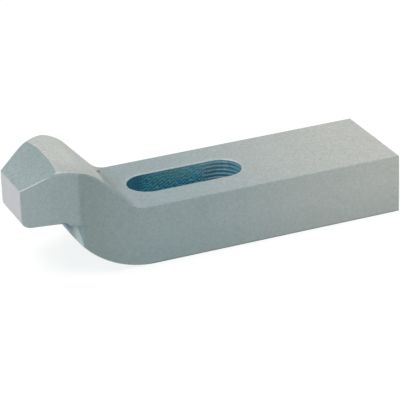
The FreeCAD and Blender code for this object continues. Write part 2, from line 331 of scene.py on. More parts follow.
@dataclass
class Effects:
    """Node groups that more than one finish uses, each built once.

    Args:
        fine: Noise of the specks.
        peel: Noise of the orange peel.
        cloud: Noise of the clouds.
        fine_share: Share of the fine noise in the specks, the rest being peel.
        drawn: How far the clouds are drawn out along each axis.
    """

    fine: Noise = Noise(1900.0, 3.0, 0.7)
    peel: Noise = Noise(650.0, 2.0, 0.55)
    cloud: Noise = Noise(90.0, 3.0, 0.6)
    fine_share: float = 0.75
    drawn: Point = (1.0, 1.0, 0.2)
    grain: bpy.types.NodeTree = field(init=False)
    edge_line: bpy.types.NodeTree = field(init=False)

    def __post_init__(self) -> None:
        """Builds the groups."""
        self.grain = self.make_grain()
        self.edge_line = self.make_edge_line()

    def make_grain(self) -> bpy.types.NodeTree:
        """Skin of sprayed enamel over a blasted forging.

        Fine specks, a soft orange peel, and clouds drawn out into upright runs are noises of
        falling scale. Tone is their weighted sum about a half, and Height is the peel and specks.

        Returns:
            The group's tree.
        """
        sheet, start, end = new_group(
            "EnamelGrain",
            {"Position": VECTOR, "Speck": FLOAT, "Cloud": FLOAT},
            {"Tone": FLOAT, "Height": FLOAT},
        )
        position = start.outputs["Position"]
        drawn = sheet.vector("MULTIPLY", position, self.drawn).outputs["Vector"]
        specks = sheet.math(
            "ADD",
            sheet.product(sheet.noise(position, self.fine), self.fine_share),
            sheet.product(sheet.noise(position, self.peel), 1.0 - self.fine_share),
        )
        clouds = sheet.noise(drawn, self.cloud)
        speckled = sheet.product(sheet.math("SUBTRACT", specks, 0.5), start.outputs["Speck"])
        clouded = sheet.product(sheet.math("SUBTRACT", clouds, 0.5), start.outputs["Cloud"])
        tone = sheet.math("ADD", sheet.math("ADD", speckled, clouded), 0.5, clamp=True)
        sheet.feed(end.inputs["Tone"], tone)
        sheet.feed(end.inputs["Height"], specks)
        return sheet.tree

    def make_edge_line(self) -> bpy.types.NodeTree:
        """A painted highlight along the corner of two faces.

        A point is on the line where its distance to both planes is under the width.

        Returns:
            The group's tree.
        """
        sheet, start, end = new_group(
            "EdgeLine",
            {"Position": VECTOR, "Normal A": VECTOR, "Reach A": FLOAT,
             "Normal B": VECTOR, "Reach B": FLOAT, "Width": FLOAT},
            {"Mask": FLOAT},
        )
        shares = []
        for face in "AB":
            along = sheet.dot(start.outputs["Position"], start.outputs[f"Normal {face}"])
            gap = sheet.math("ABSOLUTE", sheet.math("SUBTRACT", along, start.outputs[f"Reach {face}"]))
            away = sheet.math("DIVIDE", gap, start.outputs["Width"])
            shares.append(sheet.math("SUBTRACT", 1.0, away, clamp=True))
        sheet.feed(end.inputs["Mask"], sheet.product(*shares))
        return sheet.tree


@dataclass(frozen=True)
class Enamel:
    """Satin grey-green enamel, cool at the nose and, as painted light, lighter and warmer towards the heel.

    Args:
        nose: Colour at the nose tip.
        root: Colour where the nose meets the bar.
        bar: Colour beside the slot.
        heel: Colour at the heel, lighter and warmer as painted light from the back.
        saddle_shade: Colour of the painted shade between the slope and the bar.
        crown: Colour of the crown's painted light, paler than the coat around it.
        edge: Colour of the painted highlights along corners and rims.
        end: Colour of the flat nose tip.
        front: Colour of the front under the nose, darkened as painted shade under the nose.
        corner: Colour of its cut corners, lightened as a painted highlight.
        shade: Colour of those corners beside the flanks, and of the shade low on the sides.
        pool: Colour of the painted shade at the root of the nose.
        hollow: Colour of the deeper painted shade in the middle of that.
        dark_line: Colour of the dark mark at the crown's foot, of the painted contact shadow at the foot and
            of the painted shade at the heel's edges.
        roughness: Roughness of the coat.
        spread: How far the grain moves the colour, up and down.
        bump: Strength of the grain's relief.
        bump_depth: Depth of that relief.
    """

    nose: Colour = (0.265, 0.325, 0.330)
    root: Colour = (0.232, 0.298, 0.298)
    bar: Colour = (0.280, 0.355, 0.370)
    heel: Colour = (0.425, 0.450, 0.432)
    saddle_shade: Colour = (0.225, 0.290, 0.292)
    crown: Colour = (0.475, 0.508, 0.490)
    edge: Colour = (0.66, 0.72, 0.72)
    end: Colour = (0.340, 0.358, 0.368)
    front: Colour = (0.200, 0.270, 0.262)
    corner: Colour = (0.300, 0.380, 0.368)
    shade: Colour = (0.146, 0.222, 0.222)
    pool: Colour = (0.085, 0.160, 0.210)
    hollow: Colour = (0.040, 0.080, 0.110)
    dark_line: Colour = (0.060, 0.058, 0.055)
    roughness: float = 0.52
    spread: float = 0.25
    bump: float = 0.12
    bump_depth: float = 0.05 * MM

    def start(self, name: str) -> tuple[bpy.types.Material, Sheet, bpy.types.Node]:
        """An empty material with its shader.

        Args:
            name: The material's name.

        Returns:
            The material, its sheet and its Principled BSDF.
        """
        material = bpy.data.materials.new(name)
        material.use_nodes = True
        sheet = Sheet(material.node_tree)
        sheet.tree.nodes.clear()
        shader = sheet.add("ShaderNodeBsdfPrincipled")
        output = sheet.add("ShaderNodeOutputMaterial")
        sheet.feed(output.inputs["Surface"], shader.outputs["BSDF"])
        return material, sheet, shader

    def lay(self, sheet: Sheet, shader: bpy.types.Node, colour: object, grain: bpy.types.Node) -> None:
        """Joins a colour and the grain to the shader, which also roughens the surface.

        Args:
            sheet: The material's sheet.
            shader: Its Principled BSDF.
            colour: The coat's colour.
            grain: The EnamelGrain node.
        """
        tone = sheet.add("ShaderNodeMapRange")
        sheet.feed(tone.inputs["Value"], grain.outputs["Tone"])
        tone.inputs["To Min"].default_value = 1.0 - self.spread
        tone.inputs["To Max"].default_value = 1.0 + self.spread
        shaded = sheet.mix(colour, tone.outputs["Result"], 1.0, Blend.SHADE)
        sheet.feed(shader.inputs["Base Color"], shaded)
        shader.inputs["Roughness"].default_value = self.roughness
        bump = sheet.add("ShaderNodeBump")
        bump.inputs["Strength"].default_value = self.bump
        bump.inputs["Distance"].default_value = self.bump_depth
        sheet.feed(bump.inputs["Height"], grain.outputs["Height"])
        sheet.feed(shader.inputs["Normal"], bump.outputs["Normal"])


@dataclass
class Reading:
    """What a material reads of the point that it colours.

    Args:
        sheet: The material's sheet.
    """

    sheet: Sheet
    point: bpy.types.NodeSocket = field(init=False)
    along: bpy.types.NodeSocket = field(init=False)
    across: bpy.types.NodeSocket = field(init=False)
    height: bpy.types.NodeSocket = field(init=False)
    facing: tuple[bpy.types.NodeSocket, ...] = field(init=False)

    def __post_init__(self) -> None:
        """Reads the point and the way its surface faces."""
        self.point = self.sheet.add("ShaderNodeTexCoord").outputs["Object"]
        self.along, self.across, self.height = self.sheet.split(self.point)
        self.facing = self.sheet.split(self.sheet.add("ShaderNodeNewGeometry").outputs["Normal"])

    def beside(self) -> bpy.types.NodeSocket:
        """Distance from the clamp's middle plane."""
        return self.sheet.math("ABSOLUTE", self.across)

    def sideways(self) -> bpy.types.NodeSocket:
        """How far the surface turns to the nearer side, from 0 to 1."""
        return self.sheet.math("ABSOLUTE", self.facing[1])

    def mirrored(self) -> bpy.types.NodeSocket:
        """The point, brought over to the +Y side.

        Returns:
            The point, mirrored where it is on the -Y side.
        """
        node = self.sheet.add("ShaderNodeCombineXYZ")
        for socket, source in zip(node.inputs, (self.along, self.beside(), self.height)):
            self.sheet.feed(socket, source)
        return node.outputs["Vector"]

    def depth(self, face: Face) -> bpy.types.NodeSocket:
        """How far the point lies behind a flat face."""
        return self.sheet.math("SUBTRACT", face.reach, self.sheet.dot(self.mirrored(), face.normal))


@dataclass(frozen=True)
class Slot:
    """Plan of the stud slot: two half circles joined by straight sides.

    Args:
        centre: Its middle along X.
        half_run: Half the distance between the centres of its round ends.
        radius: Radius of the round ends.
    """

    centre: float = -6.2 * MM
    half_run: float = 15.6 * MM
    radius: float = 9.0 * MM

    def gap(self, reading: Reading) -> bpy.types.NodeSocket:
        """How far the point lies outside the slot, in plan.

        Args:
            reading: What the material reads.

        Returns:
            The distance, which is negative inside the slot.
        """
        sheet = reading.sheet
        from_middle = sheet.math("ABSOLUTE", sheet.math("SUBTRACT", reading.along, self.centre))
        past_run = sheet.math("MAXIMUM", sheet.math("SUBTRACT", from_middle, self.half_run), 0.0)
        square = sheet.square_sum(past_run, reading.across)
        return sheet.math("SUBTRACT", sheet.math("SQRT", square), self.radius)


@dataclass(frozen=True)
class SaddleShade:
    """Painted shade in the dip between the crown's slope and the bar, where the crown shades it.

    Args:
        heel_side: Its border along X towards the heel.
        nose_side: Its border along X towards the nose.
        near_side: Its border across the clamp.
        upward: How far up its surface faces.
        strength: How much of its colour shows.
    """

    heel_side: Band = (-29.0 * MM, -34.0 * MM)
    nose_side: Band = (-56.0 * MM, -50.0 * MM)
    near_side: Band = (-6.0 * MM, 4.0 * MM)
    upward: Band = (0.30, 0.60)
    strength: float = 0.7

    def share(self, reading: Reading) -> bpy.types.NodeSocket:
        """Share of the hollow's colour.

        Args:
            reading: What the material reads.

        Returns:
            The share.
        """
        sheet = reading.sheet
        return sheet.product(
            sheet.fade(reading.along, *self.heel_side),
            sheet.fade(reading.along, *self.nose_side),
            sheet.fade(reading.across, *self.near_side),
            sheet.fade(reading.facing[2], *self.upward),
            self.strength,
        )


@dataclass(frozen=True)
class LowSideShade:
    """Painted shade on the lower half of the sides.

    Args:
        height: Its border upwards.
        turned: How far its surface turns to a side.
        strength: How much of its colour shows.
    """

    height: Band = (16.0 * MM, 2.0 * MM)
    turned: Band = (0.7, 0.9)
    strength: float = 0.18

    def share(self, reading: Reading) -> bpy.types.NodeSocket:
        """Share of the shade on the sides.

        Args:
            reading: What the material reads.

        Returns:
            The share.
        """
        sheet = reading.sheet
        return sheet.product(
            sheet.fade(reading.sideways(), *self.turned),
            sheet.fade(reading.height, *self.height),
            self.strength,
        )


@dataclass(frozen=True)
class CrownLight:
    """The crown's painted light, from the facet down to a painted shadow edge across the slope.

    Args:
        foot: Where its lower border meets the near side: X and Y.
        way: Direction that this border faces in plan, to the heel.
        crisp: Half the border's breadth at the near side.
        softening: How much this grows with each metre across the clamp.
        behind_facet: Its border beside the facet, by the depth behind the facet's plane.
        upward: How far up its surface faces.
        inward: How far its surface turns to a side.
        grip: Distances from the near side between which the painted light grows.
        grip_least: How much of its colour shows at the near side.
        rim_turned: How far the rim's surface turns to a side.
        rim_strength: How bright the painted highlight on the rim is.
    """

    foot: tuple[float, float] = (-49.0 * MM, -22.5 * MM)
    way: tuple[float, float] = (0.958, -0.287)
    crisp: float = 0.5 * MM
    softening: float = 0.06
    behind_facet: Band = (0.01 * MM, 0.25 * MM)
    upward: Band = (0.02, 0.20)
    inward: Band = (0.55, 0.35)
    grip: Band = (0.0, 20.0 * MM)
    grip_least: float = 0.65
    rim_turned: Band = (0.18, 0.42)
    rim_strength: float = 0.75

    def share(self, reading: Reading) -> bpy.types.NodeSocket:
        """Share of the crown's painted light. Its lower border, a painted shadow edge, gets softer across
        the clamp.

        Args:
            reading: What the material reads.

        Returns:
            The share.
        """
        sheet = reading.sheet
        beyond = sheet.math("SUBTRACT", reading.along, self.foot[0])
        over = sheet.math("SUBTRACT", reading.across, self.foot[1])
        past = sheet.math("ADD", sheet.product(beyond, self.way[0]), sheet.product(over, self.way[1]))
        softness = sheet.math("MULTIPLY_ADD", over, self.softening, self.crisp)
        return sheet.product(
            sheet.fade(sheet.math("DIVIDE", past, softness), 1.0, -1.0),
            sheet.fade(reading.depth(Face.FACET), *self.behind_facet),
            sheet.fade(reading.facing[2], *self.upward),
            sheet.fade(reading.sideways(), *self.inward),
            sheet.between(sheet.fade(over, *self.grip), self.grip_least, 1.0),
        )

    def rim(self, reading: Reading, crown_light: object) -> bpy.types.NodeSocket:
        """Share of the painted highlight where the crown's rounded edges begin.

        Args:
            reading: What the material reads.
            crown_light: Share of the crown's painted light.

        Returns:
            The share.
        """
        turned = reading.sheet.fade(reading.sideways(), *self.rim_turned)
        return reading.sheet.product(turned, crown_light, self.rim_strength)


@dataclass(frozen=True)
class UnderNose:
    """Painted shade on the leaning front under the nose, a painted highlight on its cut corners, and painted
    shade at the nose's root above it.

    Args:
        behind_tip: Where the front starts along X.
        below_nose: Its border upwards.
        forward: How far its surface faces to the nose tip, by the normal's X.
        corner_side: Border of a cut corner beside the middle plane.
        corner_top: Border of a cut corner upwards.
        lean: How much a corner's outer border leans in for each metre up.
        corner_shade: Where the shade beside that border starts, at the table's height.
        root_shade_turned: How far the surface of the root's painted shade turns to a side.
        root_shade_foot: Border of the root's painted shade downwards.
        root_shade_side: Border of the root's painted shade beside the middle plane.
        root_shade_back: Border of the root's painted shade towards the heel.
        hollow_side: Border of the middle of the root's painted shade beside the middle plane.
        hollow_strength: How much of its colour shows.
        fold_downward: How far down the surface in the fold above the root's painted shade faces.
        fold_front: Border of the fold towards the nose tip.
        fold_back: Border of the fold towards the heel.
        fold_foot: Border of the fold downwards.
    """

    behind_tip: Band = (-68.0 * MM, -67.0 * MM)
    below_nose: Band = (25.3 * MM, 24.3 * MM)
    forward: Band = (-0.60, -0.80)
    corner_side: Band = (17.5 * MM, 20.0 * MM)
    corner_top: Band = (21.5 * MM, 20.1 * MM)
    lean: float = 0.328
    corner_shade: Band = (26.8 * MM, 27.6 * MM)
    root_shade_turned: Band = (0.75, 0.60)
    root_shade_foot: Band = (18.7 * MM, 20.9 * MM)
    root_shade_side: Band = (19.0 * MM, 17.0 * MM)
    root_shade_back: Band = (-55.0 * MM, -56.0 * MM)
    hollow_side: Band = (17.0 * MM, 15.0 * MM)
    hollow_strength: float = 0.8
    fold_downward: Band = (-0.10, -0.30)
    fold_front: Band = (-68.0 * MM, -65.0 * MM)
    fold_back: Band = (-60.0 * MM, -61.0 * MM)
    fold_foot: Band = (21.3 * MM, 22.3 * MM)

    def layers(self, reading: Reading, enamel: Enamel) -> list[Layer]:
        """Colours under the nose, one over another.

        Args:
            reading: What the material reads.
            enamel: The clamp's finish.

        Returns:
            Each colour with its share.
        """
        sheet = reading.sheet
        below = sheet.fade(reading.height, *self.below_nose)
        under = sheet.product(sheet.fade(reading.along, *self.behind_tip), below)
        front = sheet.product(sheet.fade(reading.facing[0], *self.forward), under)
        corner = sheet.product(
            sheet.fade(reading.beside(), *self.corner_side),
            sheet.fade(reading.height, *self.corner_top),
        )
        border = sheet.math("ADD", reading.beside(), sheet.product(reading.height, self.lean))
        pool = sheet.product(
            sheet.fade(reading.sideways(), *self.root_shade_turned),
            sheet.fade(reading.height, *self.root_shade_foot),
            sheet.fade(reading.beside(), *self.root_shade_side),
            sheet.fade(reading.along, *self.root_shade_back),
            under,
        )
        fold = sheet.product(
            sheet.fade(reading.facing[2], *self.fold_downward),
            sheet.fade(reading.along, *self.fold_front),
            sheet.fade(reading.along, *self.fold_back),
            sheet.fade(reading.height, *self.fold_foot),
            below,
        )
        middle = sheet.product(pool, sheet.fade(reading.beside(), *self.hollow_side))
        # Painted shade on the front and at the root, a painted highlight on the cut corners, and painted
        # shade beside the flanks.
        return [
            (enamel.front, front),
            (enamel.corner, sheet.product(front, corner)),
            (enamel.shade, sheet.product(front, sheet.fade(border, *self.corner_shade))),
            (enamel.pool, pool),
            (enamel.hollow, sheet.product(sheet.math("MAXIMUM", fold, middle), self.hollow_strength)),
        ]


@dataclass(frozen=True)
class DarkMark:
    """A long thin dark mark across the foot of the crown.

    Args:
        place: Its middle: X and Y.
        way: Direction of its length in plan.
        run: Half its length.
        rise: Half its breadth.
        ragged: Noise that breaks its outline.
        raggedness: How far the noise moves the outline, up and down.
        outline: Its border, by the distance from its middle over its half sizes, squared.
        height: Its border downwards.
        strength: How much of the dark colour shows.
    """

    place: tuple[float, float] = (-38.0 * MM, 14.0 * MM)
    way: tuple[float, float] = (0.43, 0.90)
    run: float = 5.2 * MM
    rise: float = 0.75 * MM
    ragged: Noise = Noise(700.0, 2.0, 0.6)
    raggedness: float = 0.8
    outline: Band = (1.1, 0.4)
    height: Band = (24.0 * MM, 24.9 * MM)
    strength: float = 0.75

    def share(self, reading: Reading) -> bpy.types.NodeSocket:
        """Share of the bare steel in the nick.

        Args:
            reading: What the material reads.

        Returns:
            The share.
        """
        sheet = reading.sheet
        over_x = sheet.math("SUBTRACT", reading.along, self.place[0])
        over_y = sheet.math("SUBTRACT", reading.across, self.place[1])
        lengthwise = sheet.math(
            "ADD",
            sheet.product(over_x, self.way[0] / self.run),
            sheet.product(over_y, self.way[1] / self.run),
        )
        breadthwise = sheet.math(
            "SUBTRACT",
            sheet.product(over_x, self.way[1] / self.rise),
            sheet.product(over_y, self.way[0] / self.rise),
        )
        noise = sheet.noise(reading.point, self.ragged)
        ragged = sheet.between(noise, -self.raggedness, self.raggedness)
        away = sheet.math("ADD", sheet.square_sum(lengthwise, breadthwise), ragged)
        return sheet.product(
            sheet.fade(away, *self.outline),
            sheet.fade(reading.height, *self.height),
            self.strength,
        )


@dataclass(frozen=True)
class EdgeLines:
    """Lines along the clamp's edges: painted contact shadow at the foot, painted shade at the heel and a
    painted highlight on the slot's rim.

    Args:
        foot_downward: How far down the foot edge's surface faces.
        foot_height: Border of the foot edge upwards.
        foot_strength: How much of the painted shadow shows on it.
        heel_turned: How far the heel edge's surface turns to a side.
        heel_along: Border of the heel edge along X.
        heel_strength: How much of the painted shade shows on it.
        rim_gap: Border of the slot's rim, by the distance outside the slot.
        rim_height: Border of the slot's rim downwards.
        rim_strength: How bright the rim is.
    """

    foot_downward: Band = (-0.98, -0.90)
    foot_height: Band = (1.0 * MM, 0.2 * MM)
    foot_strength: float = 0.6
    heel_turned: Band = (0.30, 0.50)
    heel_along: Band = (79.3 * MM, 79.8 * MM)
    heel_strength: float = 0.4
    rim_gap: Band = (0.75 * MM, 0.45 * MM)
    rim_height: Band = (23.0 * MM, 24.0 * MM)
    rim_strength: float = 0.55

    def dark_lines(self, reading: Reading) -> bpy.types.NodeSocket:
        """Share of painted contact shadow on the rounded foot edges and of painted shade on the heel's
        edges.

        Args:
            reading: What the material reads.

        Returns:
            The share.
        """
        sheet = reading.sheet
        foot = sheet.product(
            sheet.fade(reading.facing[2], *self.foot_downward),
            sheet.fade(reading.height, *self.foot_height),
            self.foot_strength,
        )
        heel = sheet.product(
            sheet.fade(reading.sideways(), *self.heel_turned),
            sheet.fade(reading.along, *self.heel_along),
            self.heel_strength,
        )
        return sheet.math("ADD", foot, heel)

    def rim(self, reading: Reading, slot: Slot) -> bpy.types.NodeSocket:
        """Share of the painted highlight on the slot's upper rim.

        Args:
            reading: What the material reads.
            slot: The slot.

        Returns:
            The share.
        """
        sheet = reading.sheet
        return sheet.product(
            sheet.fade(slot.gap(reading), *self.rim_gap),
            sheet.fade(reading.height, *self.rim_height),
            self.rim_strength,
        )


@dataclass
class StrapClamp:
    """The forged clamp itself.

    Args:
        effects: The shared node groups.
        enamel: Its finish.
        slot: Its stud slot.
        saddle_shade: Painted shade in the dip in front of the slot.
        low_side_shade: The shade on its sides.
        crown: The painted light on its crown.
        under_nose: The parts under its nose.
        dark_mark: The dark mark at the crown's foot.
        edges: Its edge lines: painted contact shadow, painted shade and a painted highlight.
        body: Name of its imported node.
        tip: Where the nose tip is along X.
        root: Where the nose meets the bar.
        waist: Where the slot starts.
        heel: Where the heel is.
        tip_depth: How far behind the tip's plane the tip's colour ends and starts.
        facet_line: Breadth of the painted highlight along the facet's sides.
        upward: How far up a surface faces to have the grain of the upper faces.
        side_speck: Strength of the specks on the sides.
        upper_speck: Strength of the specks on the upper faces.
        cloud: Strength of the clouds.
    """

    effects: Effects
    enamel: Enamel = Enamel()
    slot: Slot = Slot()
    saddle_shade: SaddleShade = SaddleShade()
    low_side_shade: LowSideShade = LowSideShade()
    crown: CrownLight = CrownLight()
    under_nose: UnderNose = UnderNose()
    dark_mark: DarkMark = DarkMark()
    edges: EdgeLines = EdgeLines()
    body: str = "strap_clamp"
    tip: float = -80.0 * MM
    root: float = -61.0 * MM
    waist: float = -25.0 * MM
    heel: float = 78.0 * MM
    tip_depth: Band = (0.4 * MM, 0.1 * MM)
    facet_line: float = 0.30 * MM
    upward: Band = (0.3, 0.9)
    side_speck: float = 1.7
    upper_speck: float = 2.7
    cloud: float = 0.2

    def dress(self) -> bpy.types.Object:
        """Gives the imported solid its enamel.

        Returns:
            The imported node.
        """
        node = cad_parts[self.body]
        node.data.materials.clear()
        node.data.materials.append(self.coat())
        return node

    def coat(self) -> bpy.types.Material:
        """The enamel of the whole clamp: its colours one over another, then the grain.

        Returns:
            The material.
        """
        material, sheet, shader = self.enamel.start("clamp_enamel")
        reading = Reading(sheet)
        # Tone along X: darker at the nose's root, and lighter and warmer towards the heel as painted light.
        colour = sheet.ramp(reading.along, {
            self.tip: self.enamel.nose,
            self.root: self.enamel.root,
            self.waist: self.enamel.bar,
            self.heel: self.enamel.heel,
        })
        for coat, share in self.layers(reading):
            colour = sheet.mix(colour, coat, share)
        upper = sheet.fade(reading.facing[2], *self.upward)
        speck = sheet.between(upper, self.side_speck, self.upper_speck)
        grain = sheet.use(self.effects.grain, Position=reading.point, Speck=speck, Cloud=self.cloud)
        self.enamel.lay(sheet, shader, colour, grain)
        return material

    def layers(self, reading: Reading) -> list[Layer]:
        """Colours laid over the coat's own, one over another.

        Args:
            reading: What the material reads.

        Returns:
            Each colour with its share.
        """
        sheet = reading.sheet
        crown_light = self.crown.share(reading)
        dark_lines = sheet.math("ADD", self.dark_mark.share(reading), self.edges.dark_lines(reading), clamp=True)
        # Over the coat: painted shade in the saddle and low on the sides, painted light on the crown,
        # painted highlights on rims and facet edges, the tip's colour, the colours under the nose, and the
        # dark lines.
        return [
            (self.enamel.saddle_shade, self.saddle_shade.share(reading)),
            (self.enamel.shade, self.low_side_shade.share(reading)),
            (self.enamel.crown, crown_light),
            (self.enamel.edge, self.crown.rim(reading, crown_light)),
            (self.enamel.end, sheet.fade(reading.depth(Face.END), *self.tip_depth)),
            (self.enamel.edge, self.facet_edge(reading)),
            (self.enamel.edge, self.edges.rim(reading, self.slot)),
            *self.under_nose.layers(reading, self.enamel),
            (self.enamel.dark_line, dark_lines),
        ]

    def facet_edge(self, reading: Reading) -> bpy.types.NodeSocket:
        """Share of the painted highlight along the facet's sides.

        Args:
            reading: What the material reads.

        Returns:
            The share.
        """
        line = reading.sheet.use(
            self.effects.edge_line,
            Position=reading.mirrored(),
            Normal_A=Face.FACET.normal,
            Reach_A=Face.FACET.reach,
            Normal_B=Face.FLANK.normal,
            Reach_B=Face.FLANK.reach,
            Width=self.facet_line,
        )
        return line.outputs["Mask"]


@dataclass
class SlotWall:
    """Milled wall of the stud slot: a thin closed ring with the cutter's ripples on its face.

    Args:
        effects: The shared node groups.
        enamel: Its finish.
        slot: The slot that it lines.
        low: Height of the ring's lower end.
        high: Height of the ring's upper end.
        sunk: How far the ring's back lies inside the steel.
        proud: How far its face stands out of the steel, where it is smooth.
        ripple: Height of the ripples.
        pitch: Distance between two ripples.
        ripple_zone: Where they start, as a share of the way from the slot's middle to its heel end.
        scale_zone: Where the scales start, likewise.
        scale_run: Distance between two scales along the wall.
        scale_rise: Distance between two scales up the wall.
        scale_height: Height of the scales over that of the ripples.
        zigzag: How far the scales' rows bend, in radians.
        sharpness: Power that narrows the scales' crests.
        drifts: Slow waves that shift the scales: size in radians, run and rise of each.
        taper: Share of a pitch over which the relief starts at the ring's ends.
        deep: Colour of the wall: its own teal coat, darkened as painted shade inside the slot.
        heel_end_light: Its colour at the heel end, lighter as painted light.
        upper: Its colour under the rim, lighter as painted light near the slot's mouth.
        scale: Its colour on the crests of the scales, a painted highlight.
        ridge: Its colour on the crests of the ripples, a painted highlight.
        heel_part: Where the heel end's colour starts along X.
        upper_part: Where the colour under the rim starts upwards.
        upper_front: Where it starts along X.
        upper_end: Where it is weaker, at the far end of the slot.
        upper_least: How much of it shows there.
        ridge_part: Where the ripples' colour takes over from the scales' along X.
        crest_height: Relief at which a crest's colour starts.
        crest_end: Where the crests are weaker, at the far end of the slot.
        crest_least: How much of their colour shows there.
        gloss: Specular level of the coat.
        speck: Strength of the specks.
        cloud: Strength of the clouds.
        steps_round: Stations round the slot.
        steps_up: Points from the ring's lower end to its upper end.
    """

    effects: Effects
    enamel: Enamel = Enamel()
    slot: Slot = Slot()
    low: float = 0.5 * MM
    high: float = 24.5 * MM
    sunk: float = 0.25 * MM
    proud: float = 0.03 * MM
    ripple: float = 0.16 * MM
    pitch: float = 1.68 * MM
    ripple_zone: Band = (0.42, 0.62)
    scale_zone: Band = (-0.85, -0.55)
    scale_run: float = 2.5 * MM
    scale_rise: float = 1.45 * MM
    scale_height: float = 0.75
    zigzag: float = 1.6
    sharpness: float = 1.5
    drifts: tuple[tuple[float, float, float], ...] = (
        (0.9, 7.3 * MM, 5.1 * MM),
        (0.7, 4.7 * MM, -3.3 * MM),
    )
    taper: float = 0.4
    deep: Colour = (0.013, 0.150, 0.235)
    heel_end_light: Colour = (0.040, 0.165, 0.225)
    upper: Colour = (0.130, 0.290, 0.340)
    scale: Colour = (0.120, 0.460, 0.540)
    ridge: Colour = (0.330, 0.500, 0.590)
    heel_part: Band = (-6.2 * MM, 9.4 * MM)
    upper_part: Band = (16.0 * MM, 24.5 * MM)
    upper_front: Band = (-25.8 * MM, -6.2 * MM)
    upper_end: Band = (17.9 * MM, 9.4 * MM)
    upper_least: float = 0.4
    ridge_part: Band = (1.4 * MM, 9.4 * MM)
    crest_height: Band = (0.15, 0.90)
    crest_end: Band = (17.9 * MM, 14.4 * MM)
    crest_least: float = 0.35
    gloss: float = 0.25
    speck: float = 5.0
    cloud: float = 1.5
    steps_round: int = 360
    steps_up: int = 140

    def path(self, share: np.ndarray) -> tuple[np.ndarray, np.ndarray]:
        """Outline of the slot: two straights and two half circles.

        Args:
            share: Share of the way round, from 0 to 1, starting at the nose end of the +Y side.

        Returns:
            Points on the outline, and the inward directions there, each as rows of X and Y.
        """
        half_run, radius = self.slot.half_run, self.slot.radius
        run, turn = 2 * half_run, math.pi * radius
        along = share * 2 * (run + turn)
        far, heel, near = run, run + turn, 2 * run + turn
        angle = np.select(
            [along < far, along < heel, along < near],
            [math.pi / 2, math.pi / 2 - (along - far) / radius, -math.pi / 2],
            -math.pi / 2 - (along - near) / radius,
        )
        middle = np.select(
            [along < far, along < heel, along < near],
            [along - half_run, half_run, half_run - (along - heel)],
            -half_run,
        )
        outward = np.stack([np.cos(angle), np.sin(angle)], axis=-1)
        points = radius * outward
        points[..., 0] += self.slot.centre + middle
        return points, -outward

    def relief(self, place: np.ndarray, around: np.ndarray, up: np.ndarray) -> np.ndarray:
        """Relief of the wall's face, as a share of a ripple.

        The ripples, round the heel end, are the square of a raised cosine of the height. The
        scales, along the rest, are a power of a raised sine of the height, whose phase zigzags
        along the wall. The slow waves shift both phases, so that no two scales are alike.

        Args:
            place: Place of each station along X, as a share of the way from the slot's middle to
                its heel end.
            around: Share of the way round the slot, by station and height.
            up: Height, by station and height.

        Returns:
            The relief, by station and height.
        """
        run = around * 2 * (2 * self.slot.half_run + math.pi * self.slot.radius)
        rippled = part(place, self.ripple_zone)
        scaly = part(place, self.scale_zone) * (1.0 - rippled)
        ripples = rippled * (0.5 - 0.5 * np.cos(2 * np.pi * (up - self.high) / self.pitch)) ** 2
        drift = sum(
            size * np.sin(2 * np.pi * (run / length + up / rise)) for size, length, rise in self.drifts
        )
        bend = self.zigzag * np.sin(2 * np.pi * run / self.scale_run + drift)
        raised = 0.5 + 0.5 * np.sin(2 * np.pi * up / self.scale_rise + bend + drift)
        scales = scaly * raised ** self.sharpness
        ends = part(np.minimum(up - self.low, self.high - up), (0.0, self.taper * self.pitch))
        return (ripples + self.scale_height * scales) * ends

    def build(self) -> bpy.types.Object:
        """Makes the ring, whose section is a closed loop: up the rippled face, down the sunk back.

        Returns:
            The ring, riding on the clamp.
        """
        share = np.arange(self.steps_round) / self.steps_round
        points, inward = self.path(share)
        height = np.linspace(self.low, self.high, self.steps_up)
        around, up = np.meshgrid(share, height, indexing="ij")
        place = (points[:, 0] - self.slot.centre) / (self.slot.half_run + self.slot.radius)
        crest = self.relief(place[:, None], around, up)
        depth = self.proud + self.ripple * crest
        face = np.concatenate(
            [points[:, None, :] + inward[:, None, :] * depth[..., None], up[..., None]], axis=-1
        )
        sunk = np.repeat((points - inward * self.sunk)[:, None, :], 2, axis=1)
        ends = np.broadcast_to(height[[-1, 0]][None, :, None], (self.steps_round, 2, 1))
        back = np.concatenate([sunk, ends], axis=-1)
        loop = np.concatenate([face, back], axis=1)
        return self.mesh(loop, np.pad(crest, ((0, 0), (0, back.shape[1]))))

    def mesh(self, loop: np.ndarray, crest: np.ndarray) -> bpy.types.Object:
        """Joins a grid that closes both ways into a ring of quads.

        Args:
            loop: Points by station round the slot and by place in the section.
            crest: How near each point is to a ripple's crest, from 0 to 1.

        Returns:
            The ring's object.
        """
        stations, places, _ = loop.shape
        index = np.arange(stations * places).reshape(stations, places)
        onward = np.roll(index, -1, axis=0)
        quads = np.stack([index, np.roll(index, -1, axis=1), np.roll(onward, -1, axis=1), onward], axis=-1)
        mesh = bpy.data.meshes.new("slot_wall")
        mesh.from_pydata(loop.reshape(-1, 3), [], quads.reshape(-1, 4))
        mesh.shade_smooth()
        mesh.attributes.new("crest", "FLOAT", "POINT").data.foreach_set("value", crest.ravel())
        mesh.update()
        wall = bpy.data.objects.new("slot_wall", mesh)
        bpy.context.scene.collection.objects.link(wall)
        mesh.materials.append(self.coat())
        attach(wall, "root")
        return wall

